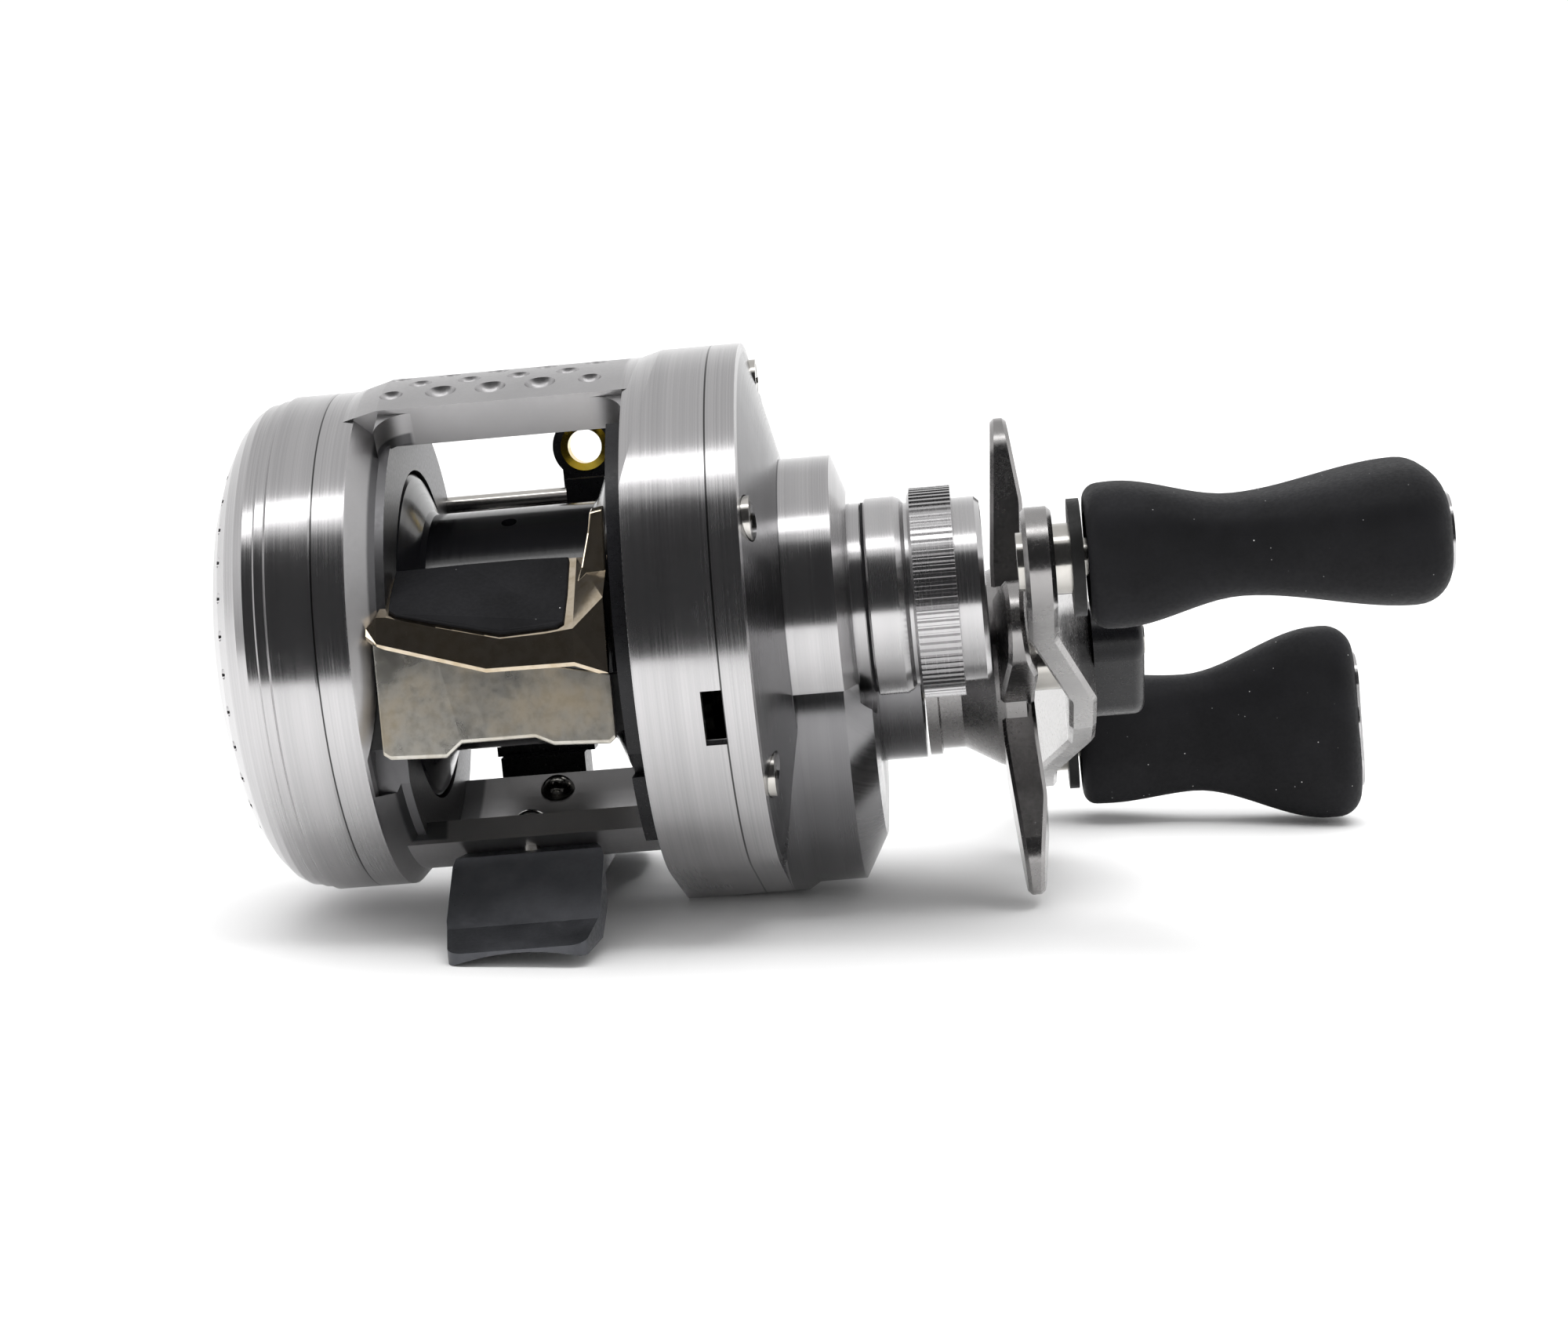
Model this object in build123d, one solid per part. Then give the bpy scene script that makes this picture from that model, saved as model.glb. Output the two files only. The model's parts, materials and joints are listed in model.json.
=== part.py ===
"""Round baitcasting fishing reel with a right-hand crank.

Every piece is modelled about the spool axis, which runs along X, and is moved to
the reel's own frame when it is written: origin at the middle of the foot's
underside, +Z up, +Y towards the rod tip, +X towards the handle. Millimetres.
"""
import os
from math import atan2, cos, degrees, hypot, pi, radians, sin, sqrt

from build123d import *

# ---- driving dimensions -------------------------------------------------------
SPOOL_Y = -2.0              # spool axis, measured from the middle of the foot
SPOOL_Z = 30.0              # spool axis above the foot's underside

GAP = 13.85                 # half the open width between the two frame rings
LEFT_R = 26.25              # outer radius of the palm side
LEFT_SEAM_X = -17.2         # frame to palm cup
LIP_R = 23.7                # turned lip inside the left ring
LIP_X = -10.4
RIGHT_R = 27.8              # handle side, about the spool axis
RIGHT_SEAM_X = 22.4         # frame to handle cover
COVER_RIM_X = 25.4
COVER_FACE_X = 28.3
SPOOL_BORE_R = 17.5         # opening in both rings for the spool flanges

HANDLE_Y = 18.4             # drive shaft axis, from the spool axis
HANDLE_Z = -10.9
HANDLE_R = 20.7             # outline of the handle side about the drive shaft
LOBE_Y = 12.0               # middle of the boss's lower lobe
LOBE_Z = -10.3
LOBE_R = 22.4
BOSS_LOBE_R = 21.6
SLEEVE_R = 9.4              # drive shaft sleeve on the cover
BOSS_TOP_R = 15.3
BOSS_FLAT_Z = -8.0          # the upper lobe ends in a flat here

REST_R = 27.2               # thumb rest crossbar
REST_HALF_DEG = 26.0
BASE_R = 24.8               # bottom crossbar
BASE_THICK = 2.5
BASE_HALF_DEG = 36.0

FLANGE_R = 17.1
ARBOR_R = 12.6
SPOOL_LEFT_X = -12.0
SPOOL_RIGHT_X = 12.3
SHAFT_R = 1.5

DRIVE_TEETH = 52
PINION_TEETH = 10
TRAIN_TEETH = 20
IDLER_TEETH = 11

WORM_Y = 21.5
WORM_Z = 4.5
WORM_R = 2.2
ROD_Y = 19.2
ROD_Z = 12.2
ROD_R = 1.0
GUIDE_X = 5.5               # line guide at rest, right of the middle
GUIDE_Y = 22.0
GUIDE_Z = 17.5
GUIDE_HOLE_R = 1.9

FOOT_LENGTH = 62.0
FOOT_WIDTH = 15.6
FOOT_END_WIDTH = 13.6
FOOT_WAIST = 12.6           # width under the frame
FOOT_BRIDGE_Z = 3.6         # underside between the tongues
FOOT_ARCH_R = 24.0
RIVET_DEGS = (151.0, 180.0, 209.0)   # about the spool axis, from the top

STAR_R = 27.6
STAR_X = 51.4
CRANK_R = 42.8              # crank pin circle
CRANK_DEG = 159.0           # near arm, from +Y towards +Z
CRANK_THICK = 3.0
CRANK_BEVEL = 0.45
CRANK_END_X = 52.7
CRANK_HUB_X = 56.8
KNOB_X = 57.9
KNOB_END_X = 93.6
NEAR_KNOB_DEG = 2.0         # how far the knobs' broad sides are turned at rest
FAR_KNOB_DEG = 88.0

YOKE_DEG = -30.6            # yoke, square to the line from spool to drive shaft
YOKE_REACH = 7.4

THUMB_TRAVEL = 2.4          # how far the thumb bar presses down
RUN = 0.05                  # radial running clearance

HANDLE = (HANDLE_Y, HANDLE_Z)
LOBE = (LOBE_Y, LOBE_Z)
WORM = (WORM_Y, WORM_Z)
CENTRE_DISTANCE = hypot(HANDLE_Y, HANDLE_Z)
GEAR_MODULE = 2 * CENTRE_DISTANCE / (DRIVE_TEETH + PINION_TEETH)
TRAIN_DISTANCE = hypot(WORM_Y - HANDLE_Y, WORM_Z - HANDLE_Z)
TRAIN_MODULE = TRAIN_DISTANCE / (TRAIN_TEETH + IDLER_TEETH)
TRAIN_DEG = degrees(atan2(WORM_Z - HANDLE_Z, WORM_Y - HANDLE_Y))


# ---- shape helpers ------------------------------------------------------------
def disc(x0, x1, radius, at=(0, 0)):
    """Solid cylinder along X from x0 to x1."""
    return Pos(x0, at[0], at[1]) * extrude(Plane.YZ * Circle(radius), x1 - x0)


def tube(x0, x1, outer, inner, at=(0, 0)):
    """Ring along X."""
    return disc(x0, x1, outer, at) - disc(x0 - 1, x1 + 1, inner, at)


def block(x0, x1, y0, y1, z0, z1):
    """Box between two corners."""
    size = Box(x1 - x0, y1 - y0, z1 - z0)
    return Pos((x0 + x1) / 2, (y0 + y1) / 2, (z0 + z1) / 2) * size


def turned(points, at=(0, 0)):
    """Full turn about X of an (x, radius) outline."""
    face = make_face(Polyline(*points, close=True))
    return Pos(0, at[0], at[1]) * revolve(face, Axis.X, 360)


def turned_sector(points, middle_deg, half_deg):
    """Part turn about X of an (x, radius) outline, centred middle_deg from the top."""
    face = make_face(Polyline(*points, close=True))
    swept = revolve(face, Axis.X, 2 * half_deg)
    return Rot(90 + middle_deg - half_deg, 0, 0) * swept


def around(angle_deg, radius, at=(0, 0)):
    """Point (y, z) at an angle from the top, positive towards the angler (-Y)."""
    angle = radians(angle_deg)
    return at[0] - radius * sin(angle), at[1] + radius * cos(angle)


def side_outline(inset=0.0):
    """Outline of the handle side: the hull of the spool, lobe and drive shaft circles."""
    big = Circle(RIGHT_R - inset)
    lobe = Pos(LOBE_Y, LOBE_Z) * Circle(LOBE_R - inset)
    shaft = Pos(HANDLE_Y, HANDLE_Z) * Circle(HANDLE_R - inset)
    return make_hull(big.edges() + lobe.edges() + shaft.edges())


def side_prism(x0, x1, inset=0.0, taper=0.0):
    """The handle side outline extruded along X."""
    return Pos(x0, 0, 0) * extrude(Plane.YZ * side_outline(inset), x1 - x0, taper=taper)


def gear(x0, x1, teeth, module, bore, at, turn_deg=0.0):
    """Spur gear along X with slim straight-sided teeth."""
    pitch_r = teeth * module / 2
    root_r = pitch_r - 1.15 * module
    tip_r = pitch_r + 0.85 * module
    step = 360 / teeth
    outline = []
    for index in range(teeth):
        middle = radians(turn_deg + index * step)
        root_half = radians(0.30 * step)
        tip_half = radians(0.12 * step)
        corners = ((root_r, -root_half), (tip_r, -tip_half), (tip_r, tip_half), (root_r, root_half))
        for radius, offset in corners:
            outline.append((radius * cos(middle + offset), radius * sin(middle + offset)))
    wheel = extrude(Plane.YZ * make_face(Polyline(*outline, close=True)), x1 - x0)
    return Pos(x0, at[0], at[1]) * wheel - disc(x0 - 1, x1 + 1, bore, at)


def ball_bearing(x0, x1, outer, inner, at=(0, 0)):
    """Shielded bearing: two races and a recessed shield as one ring."""
    ring = tube(x0, x1, outer, inner, at)
    shield = tube(x0 - 0.1, x0 + 0.25, outer - 0.7, inner + 0.6, at)
    shield += tube(x1 - 0.25, x1 + 0.1, outer - 0.7, inner + 0.6, at)
    return ring - shield


# ---- frame --------------------------------------------------------------------
def frame():
    """One-piece machined frame: two rings, the thumb rest and the bottom crossbar."""
    left = turned([(LEFT_SEAM_X, SPOOL_BORE_R), (LEFT_SEAM_X, LEFT_R), (-GAP, LEFT_R), (-11.3, LIP_R),
                   (LIP_X, LIP_R), (LIP_X, SPOOL_BORE_R)])
    right = side_prism(GAP, RIGHT_SEAM_X) - side_prism(GAP + 1.75, RIGHT_SEAM_X + 1, inset=1.7)
    right -= disc(GAP - 1, GAP + 3, SPOOL_BORE_R)
    rest = turned_sector([(-16.6, 22.9), (-16.6, 26.2), (-15.2, 26.2), (-11.4, REST_R), (15.0, REST_R),
                          (15.0, 22.9)], 0, REST_HALF_DEG)
    base = turned_sector([(-16.0, BASE_R - BASE_THICK), (-16.0, BASE_R), (15.0, BASE_R),
                          (15.0, BASE_R - BASE_THICK)], 180, BASE_HALF_DEG)
    body = left + (right - corner_facet()) + rest + rest_corners() + base
    body -= rest_dimples()
    for x0, x1 in ((-13.6, LIP_X + 0.1), (GAP - 0.1, GAP + 2)):
        body -= block(x0, x1, -24.2, -20.0, -13.6, 1.2)
    body -= block(20.3, RIGHT_SEAM_X + 0.1, -31, -24, -10.6, -5.0)
    body -= disc(-15.0, 16, ROD_R, (ROD_Y, ROD_Z))
    body -= disc(-15.0, 16, 2.9, WORM)
    for angle in RIVET_DEGS:
        body -= Rot(angle, 0, 0) * Pos(0, 0, BASE_R) * Cylinder(0.9, 12)
    for y, z in plate_screw_places():
        body -= disc(GAP - 0.5, GAP + 2, 0.8, (y, z))
    for y, z in cover_screw_places():
        body += disc(GAP + 1, RIGHT_SEAM_X, 2.4, (y, z))
        body -= disc(GAP + 3, RIGHT_SEAM_X + 1, 0.9, (y, z))
    return body + tube(GAP + 1.7, GAP + 3.9, 6.0, 4.5, HANDLE)


def corner_facet():
    """Shallow bevel on the right ring beside the thumb rest, cut by a cone set off the spool axis."""
    shift = 2.57
    start = RIGHT_R - 0.9 + shift
    slope = 0.27
    x0, x1 = GAP - 0.02, GAP + 6.0
    outline = [(x0, start), (x1, start + slope * (x1 - x0)), (x1, RIGHT_R + 8), (x0, RIGHT_R + 8)]
    cut = turned(outline, around(5 + 180, shift))
    return cut & turned_sector([(x0 - 1, 20), (x0 - 1, 40), (x1 + 1, 40), (x1 + 1, 20)], 5, 58)


def rest_corners():
    """Rounded gussets between the thumb rest and both rings, at the top of the rear window."""
    reach = 3.4
    gussets = []
    left_x = LIP_X - 1.0
    spans = ((left_x, left_x + reach, left_x + reach), (GAP - reach, GAP + 0.1, GAP - reach))
    for x0, x1, open_x in spans:
        gusset = block(x0, x1, -reach, 0.3, 23.2, 26.6)
        gusset -= Pos(open_x, -reach, 25) * Cylinder(reach, 6)
        gussets.append(Rot(REST_HALF_DEG, 0, 0) * gusset)
    return gussets[0] + gussets[1]


def rest_dimples():
    """Three staggered rows of grip dimples on the thumb rest."""
    pits = []
    rows = ((18.5, (-2, -1, 0, 1, 2)), (11.2, (-1.5, -0.5, 0.5, 1.5)), (3.9, (-2, -1, 0, 1, 2)))
    for row_deg, offsets in rows:
        for offset in offsets:
            size = 1.2 if abs(offset) > 1.2 or row_deg < 12 else 1.6
            y, z = around(row_deg, REST_R + 0.35 * size)
            pits.append(Pos(5.15 * offset, y, z) * Sphere(1.06 * size))
    return pits_union(pits)


def pits_union(pits):
    """Join a list of separate small solids."""
    joined = pits[0]
    for pit in pits[1:]:
        joined += pit
    return joined


def plate_screw_places():
    """Screws of the inner side plate."""
    return [around(angle, 20.6) for angle in (55, 112, -62, -125)]


def cover_screw_places():
    """Screws of the handle cover."""
    return [around(angle, 24.3) for angle in (63, -14, 128)]


# ---- foot ---------------------------------------------------------------------
def foot():
    """Reel foot: a cradle under the frame with two sloping tongues for the rod seat."""
    half = FOOT_LENGTH / 2
    side = [(-half, 0), (7 - half, 0.4), (-15.0, FOOT_BRIDGE_Z),
            (15.0, FOOT_BRIDGE_Z), (half - 7, 0.4), (half, 0),
            (half, 1.3), (half - 6, 2.6), (14.5, 8.2), (-16.5, 8.2), (6 - half, 2.6), (-half, 1.3)]
    body = Pos(-FOOT_WIDTH / 2, 0, 0) * extrude(Plane.YZ * make_face(Polyline(*side, close=True)), FOOT_WIDTH)
    w0 = FOOT_END_WIDTH / 2
    w1 = FOOT_WIDTH / 2
    waist = FOOT_WAIST / 2
    right = [(w0, -half), (w1, -24), (w1, -17.5), (waist, -12), (waist, 12), (w1, 17.5), (w1, 24), (w0, half)]
    plan = make_face(Polyline(*right, *[(-x, y) for x, y in reversed(right)], close=True))
    plan = fillet(plan.vertices().filter_by(lambda corner: abs(corner.Y) > half - 1), 1.8)
    body &= extrude(plan, 20)
    arch_z = -sqrt(FOOT_ARCH_R ** 2 - w0 ** 2)
    body -= Pos(0, 0, arch_z) * Rot(90, 0, 0) * Cylinder(FOOT_ARCH_R, FOOT_LENGTH + 2)
    body = Pos(0, -SPOOL_Y, -SPOOL_Z) * body
    body -= disc(-20, 20, BASE_R)
    for angle in RIVET_DEGS:
        body -= Rot(angle, 0, 0) * Pos(0, 0, BASE_R) * Cylinder(0.9, 4)
    return body


def foot_rivets():
    """Domed rivets through the bottom crossbar into the foot."""
    rivets = []
    for angle in RIVET_DEGS:
        seat = BASE_R - BASE_THICK - 0.12
        head = Pos(0, 0, seat + 0.5) * (Sphere(1.95) & Pos(0, 0, -1.5) * Box(4, 4, 2))
        shank = Pos(0, 0, seat + 2.0) * Cylinder(0.9, 4.2)
        rivets.append(Rot(angle, 0, 0) * (head + shank))
    return rivets


# ---- palm side ----------------------------------------------------------------
def palm_cup():
    """Turned palm side cover with beads, a domed shoulder and a ring of small pits."""
    outer = [(LEFT_SEAM_X, 24.2), (LEFT_SEAM_X, LEFT_R - 0.12), (-17.5, LEFT_R), (-21.8, LEFT_R),
             (-22.1, 25.9), (-23.0, 25.9), (-23.2, 25.7), (-24.3, 25.6), (-25.3, 25.0), (-26.6, 23.6),
             (-27.8, 21.6), (-28.9, 19.0), (-30.0, 15.0), (-30.7, 10.0), (-31.1, 5.0), (-31.2, 0)]
    inner = [(-29.4, 0), (-29.2, 6.0), (-28.4, 13.0), (-27.2, 18.6),
             (-25.6, 22.0), (-23.6, 23.8), (-20.0, 24.2)]
    body = turned(outer + inner)
    body += turned([(-29.8, 0), (-29.8, 6.2), (-21.5, 6.2), (-21.5, 4.0), (-25.6, 4.0), (-25.6, 0)])
    pits = [Pos(-27.75, *around(10 * k, 21.95)) * Sphere(0.55) for k in range(36)]
    return body - pits_union(pits)


def palm_inner_plate():
    """Bayonet ring that locks the palm cup into the frame's left ring."""
    ring = tube(LEFT_SEAM_X - 1.4, LEFT_SEAM_X, 23.6, 17.6)
    for k in range(3):
        y, z = around(120 * k + 40, 21.6)
        ring += disc(LEFT_SEAM_X - 2.6, LEFT_SEAM_X - 1.3, 1.6, (y, z))
    return ring


def brake_race():
    """Drum ring that the brake weights rub on."""
    return turned([(-23.6, 9.6), (-23.6, 13.4), (-18.2, 13.4), (-18.2, 12.2), (-22.6, 12.2), (-22.6, 9.6)])


# ---- handle side --------------------------------------------------------------
def inner_side_plate():
    """Black plate on the inboard face of the right ring, notched for the crossbars."""
    body = Pos(GAP - 1.5, 0, 0) * extrude(Plane.YZ * side_outline(1.2), 1.45)
    body -= disc(GAP - 3, GAP + 1, SPOOL_BORE_R + 0.1)
    body -= turned_sector([(10, 22.4), (10, 30), (15, 30), (15, 22.4)], 5, REST_HALF_DEG + 6.0)
    body -= turned_sector([(10, 21.9), (10, 45), (15, 45), (15, 21.9)], 180, BASE_HALF_DEG + 1.0)
    body -= block(10, 15, -24.2, -20.0, -13.6, 1.2)
    body -= disc(10, 15, ROD_R + 0.1, (ROD_Y, ROD_Z))
    body -= disc(10, 15, 3.0, WORM)
    for y, z in plate_screw_places():
        body -= disc(10, 15, 0.85, (y, z))
        body -= disc(10, GAP - 0.7, 1.5, (y, z))
    return body


def plate_screws():
    """Countersunk screws of the inner side plate."""
    screws = []
    for y, z in plate_screw_places():
        screw = disc(GAP - 1.45, GAP - 0.7, 1.45, (y, z)) + disc(GAP - 0.75, GAP + 1.6, 0.75, (y, z))
        screws.append(screw - block(GAP - 2, GAP - 1.1, y - 0.2, y + 0.2, z - 1.2, z + 1.2))
    return screws


def handle_cover():
    """Handle side cover: tapered face, two-lobed boss, threaded neck and shaft sleeve."""
    shell = side_prism(RIGHT_SEAM_X, COVER_RIM_X)
    rim_x = COVER_RIM_X - 0.1
    dome = turned([(rim_x, 0), (rim_x, 27.9), (COVER_FACE_X, 15.6), (COVER_FACE_X, 0)])
    lobe_rise = turned([(COVER_RIM_X - 0.1, 0), (COVER_RIM_X - 0.1, LOBE_R - 0.02),
                        (27.0, LOBE_R - 0.02), (COVER_FACE_X, BOSS_LOBE_R), (COVER_FACE_X, 0)], LOBE)
    lobe_rise += turned([(COVER_RIM_X - 0.1, 0), (COVER_RIM_X - 0.1, HANDLE_R - 0.4), (26.6, HANDLE_R - 1.2),
                         (COVER_FACE_X, HANDLE_R - 4.0), (COVER_FACE_X, 0)], HANDLE)
    dome &= side_prism(COVER_RIM_X - 0.2, COVER_FACE_X + 1)
    shell += dome + lobe_rise
    upper = turned([(27.0, 0), (27.0, BOSS_TOP_R), (33.65, BOSS_TOP_R), (35.05, 11.3), (35.05, 0)])
    upper -= block(28.35, 36, -16, 16, -16, BOSS_FLAT_Z)
    lower = turned([(27.0, 0), (27.0, BOSS_LOBE_R), (33.4, BOSS_LOBE_R),
                    (36.0, 17.0), (36.3, 14.0), (36.3, 0)],
                   LOBE)
    lower -= disc(34.9, 40, 12.3)
    neck = disc(35.0, 38.5, 9.4) + turned([(35.0, 0), (35.0, 10.0), (36.3, 10.0), (36.3, 0)])
    neck += disc(38.4, 42.6, 8.2)
    sleeve = disc(36.2, 40.9, SLEEVE_R, HANDLE)
    sleeve -= disc(36.3, 41, 10.6)
    body = shell + upper + lower + neck + sleeve
    body -= side_prism(RIGHT_SEAM_X - 1, 24.2, inset=1.6)
    body -= disc(20, 27.6, 14.4, HANDLE)
    body -= disc(20, 33.0, 8.2, HANDLE)
    body -= disc(20, 33.5, 5.6)
    body -= disc(20, 45, 4.03)
    body -= disc(20, 45, 5.3, HANDLE)
    body -= disc(33.0, 45, 6.53, HANDLE)
    for y, z in cover_screw_places():
        body += disc(RIGHT_SEAM_X, 25.2, 2.8, (y, z))
        body -= disc(20, 30, 0.95, (y, z))
        body -= disc(24.95, 30, 2.35, (y, z))
    return body


def cover_screws():
    """Slotted cover screws."""
    screws = []
    for y, z in cover_screw_places():
        screw = disc(25.0, 26.4, 2.25, (y, z)) + disc(17.2, 25.1, 0.88, (y, z))
        screw -= block(25.8, 27, y - 0.3, y + 0.3, z - 1.7, z + 1.7)
        screw -= block(25.8, 27, y - 1.7, y + 1.7, z - 0.3, z + 0.3)
        screws.append(screw)
    return screws


def spool_bearings():
    """Pair of spool bearings, in the palm cup's hub and in the cap neck."""
    bore = SHAFT_R + 0.02
    return [ball_bearing(-24.4, -21.9, 3.95, bore), ball_bearing(38.6, 41.1, 4.0, bore)]


def pinion_bearing():
    """Bearing that carries the pinion in the cover."""
    return ball_bearing(33.6, 35.8, 4.0, 2.95)


def shaft_bearing():
    """Drive shaft bearing at the frame end."""
    return ball_bearing(GAP + 1.8, GAP + 3.8, 4.5, 2.52, HANDLE)


def roller_clutch():
    """Anti-reverse roller clutch in the cover sleeve."""
    sleeve = tube(34.2, 40.4, 6.5, 5.6, HANDLE)
    for k in range(8):
        y, z = around(45 * k, 5.15, HANDLE)
        sleeve += disc(34.6, 40.0, 0.5, (y, z))
    return sleeve


# ---- spool --------------------------------------------------------------------
def spool():
    """Machined spool with drilled arbor, flared flanges and a line pin hole."""
    outer = [(SPOOL_LEFT_X, 12.0), (SPOOL_LEFT_X, FLANGE_R - 0.3), (SPOOL_LEFT_X + 0.3, FLANGE_R),
             (SPOOL_LEFT_X + 1.3, FLANGE_R), (SPOOL_LEFT_X + 1.6, FLANGE_R - 0.4), (-8.9, ARBOR_R + 0.5),
             (-8.4, ARBOR_R), (8.7, ARBOR_R), (9.2, ARBOR_R + 0.5), (SPOOL_RIGHT_X - 1.6, FLANGE_R - 0.4),
             (SPOOL_RIGHT_X - 1.3, FLANGE_R), (SPOOL_RIGHT_X - 0.3, FLANGE_R),
             (SPOOL_RIGHT_X, FLANGE_R - 0.3),
             (SPOOL_RIGHT_X, 12.0), (7.8, 11.5), (-7.6, 11.5)]
    body = turned(outer)
    web = turned([(-0.9, 0), (-0.9, 11.8), (0.9, 11.8), (0.9, 0)])
    web += disc(-6, 6, 3.4)
    web -= disc(-7, 7, SHAFT_R)
    for k in range(6):
        y, z = around(60 * k + 30, 7.6)
        web -= disc(-2, 2, 2.1, (y, z))
    body += web
    for k in range(4):
        body -= Rot(90 * k + 24, 0, 0) * Pos(0, 0, 11) * Cylinder(0.8, 6)
    return body - line_pin()


def line_pin():
    """Small line pin across the arbor hole."""
    return Rot(-36, 0, 0) * Pos(3.4, 0, ARBOR_R - 0.6) * (Cylinder(0.6, 1.5) + Pos(0, 0, 0.9) * Sphere(0.8))


def spool_shaft():
    """Stepped steel spool shaft."""
    shaft = disc(-24.6, 42.0, SHAFT_R - RUN / 2)
    return shaft - Pos(15.4, 0, 0) * Rot(90, 0, 0) * Cylinder(0.55, 8)


def spool_pin():
    """Cross pin that the pinion's slot drives."""
    return Pos(15.4, 0, 0) * Rot(90, 0, 0) * Cylinder(0.54, 5.4)


def brake_frame():
    """Six-armed carrier for the brake weights on the spool's left side."""
    body = tube(-20.6, -17.6, 4.2, SHAFT_R)
    for k in range(6):
        arm = block(-20.0, -19.0, -0.45, 0.45, 3.8, 11.2)
        body += Rot(60 * k, 0, 0) * arm
    return body


def brake_weights():
    """Six small sliding brake weights."""
    weight = block(-20.5, -18.5, -1.1, 1.1, 8.6, 11.4) - block(-20.05, -18.95, -0.5, 0.5, 8, 12)
    return [Rot(60 * k, 0, 0) * weight for k in range(6)]


# ---- drive --------------------------------------------------------------------
def pinion():
    """Long pinion with the slotted end that drives the spool's cross pin."""
    bore = SHAFT_R + RUN
    body = gear(19.7, 30.0, PINION_TEETH, GEAR_MODULE, bore, (0, 0), pinion_phase())
    body += tube(16.3, 19.8, 2.9, bore) + tube(17.5, 17.9, 4.2, bore) + tube(19.4, 19.8, 4.2, bore)
    body += tube(29.9, 35.4, 2.9, bore)
    crown = tube(14.3, 16.4, 3.6, bore)
    crown -= block(14, 16.2, -4, 4, -0.65, 0.65)
    crown -= block(14, 16.2, -0.65, 0.65, -4, 4)
    return body + crown


def pinion_phase():
    """Pinion turn that puts a gap where the drive gear shows a tooth."""
    towards_drive = degrees(atan2(HANDLE_Z, HANDLE_Y))
    return towards_drive + 180 / PINION_TEETH


def drive_gear():
    """Main gear, driven through the drag washers."""
    towards_pinion = degrees(atan2(-HANDLE_Z, -HANDLE_Y))
    body = gear(21.7, 23.7, DRIVE_TEETH, GEAR_MODULE, 2.52, HANDLE, towards_pinion)
    body += tube(23.6, 26.8, 13.6, 12.4, HANDLE)
    return body


def drag_washers():
    """Carbon and metal drag washers stacked in the drive gear."""
    return [tube(23.8 + 0.65 * k, 24.35 + 0.65 * k, 12.2, 2.55, HANDLE) for k in range(4)]


def drive_shaft():
    """Drive shaft with a key flat for the crank."""
    shaft = disc(GAP + 1.9, 27.0, 2.5, HANDLE) + disc(26.6, 27.3, 6.0, HANDLE)
    shaft += disc(27.0, 40.6, 4.6, HANDLE)
    shaft += disc(40.5, 62.4, 3.0, HANDLE)
    return shaft


def kick_ratchet():
    """Ratchet wheel that trips the clutch back in."""
    return gear(20.4, 21.6, 12, 0.9, 2.5, HANDLE)


def train_gear():
    """Small gear on the drive shaft that drives the level wind."""
    return gear(18.6, 20.2, TRAIN_TEETH, TRAIN_MODULE, 2.5, HANDLE, TRAIN_DEG)


def idler_place():
    """Axis of the idler between the drive shaft and the worm."""
    share = (TRAIN_TEETH + IDLER_TEETH) / 2 * TRAIN_MODULE / TRAIN_DISTANCE
    return HANDLE_Y + share * (WORM_Y - HANDLE_Y), HANDLE_Z + share * (WORM_Z - HANDLE_Z)


def idler_gear():
    """Idler gear of the level wind train."""
    turn = TRAIN_DEG + 180 + 180 / IDLER_TEETH
    return gear(18.6, 20.2, IDLER_TEETH, TRAIN_MODULE, 0.85, idler_place(), turn)


def worm_gear():
    """Gear pinned to the worm shaft."""
    turn = TRAIN_DEG + 180 + 180 / TRAIN_TEETH
    return gear(18.6, 20.2, TRAIN_TEETH, TRAIN_MODULE, 1.3, WORM, turn)


# ---- level wind ---------------------------------------------------------------
def worm_shaft():
    """Worm shaft with crossed grooves shown as shallow turned channels."""
    body = disc(-14.0, 21.0, 1.3, WORM) + disc(-10.2, 13.4, WORM_R, WORM)
    for k in range(9):
        groove = tube(-8.8 + 2.6 * k, -8.0 + 2.6 * k, 4, WORM_R - 0.4, WORM)
        slope = Rot(0, 0, 14 if k % 2 else -14)
        tilt = Pos(-8.4 + 2.6 * k, *WORM) * slope * Pos(8.4 - 2.6 * k, -WORM_Y, -WORM_Z)
        body -= tilt * groove
    return body


def worm_bushes():
    """Plain bushes at both ends of the worm shaft."""
    left = tube(-13.9, LIP_X - 0.1, 2.9, 1.3 + RUN, WORM)
    right = tube(GAP - 0.3, GAP + 1.7, 2.9, 1.3 + RUN, WORM)
    return [left, right]


def guide_rod():
    """Steel rod that keeps the line guide upright."""
    return disc(-14.8, 15.8, ROD_R, (ROD_Y, ROD_Z))


def worm_guard():
    """Black trough in front of and below the worm, with a block on the bottom crossbar."""
    trough = tube(LIP_X + 0.1, GAP - 1.6, 4.5, 3.7, WORM)
    trough -= block(-20, 20, WORM_Y - 8, WORM_Y + 1.4, WORM_Z - 3.4, WORM_Z + 8)
    trough -= block(-20, 20, WORM_Y - 8, WORM_Y + 8, WORM_Z + 1.5, WORM_Z + 8)
    strut = block(-7.2, 3.8, 16.6, 19.6, -16.2, -12.6) + block(-6.0, 2.8, 16.8, 19.4, -15, WORM_Z - 3.0)
    strut += block(-6.4, 3.0, 13.6, 19.4, -19.6, -16.0)
    strut -= disc(-20, 20, SPOOL_BORE_R + 0.6)
    strut -= disc(-20, 20, 3.7, WORM)
    low = BASE_R - BASE_THICK
    strut -= turned_sector([(-20, low), (-20, 40), (20, 40), (20, low)], 180, BASE_HALF_DEG + 1)
    return trough + strut


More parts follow.
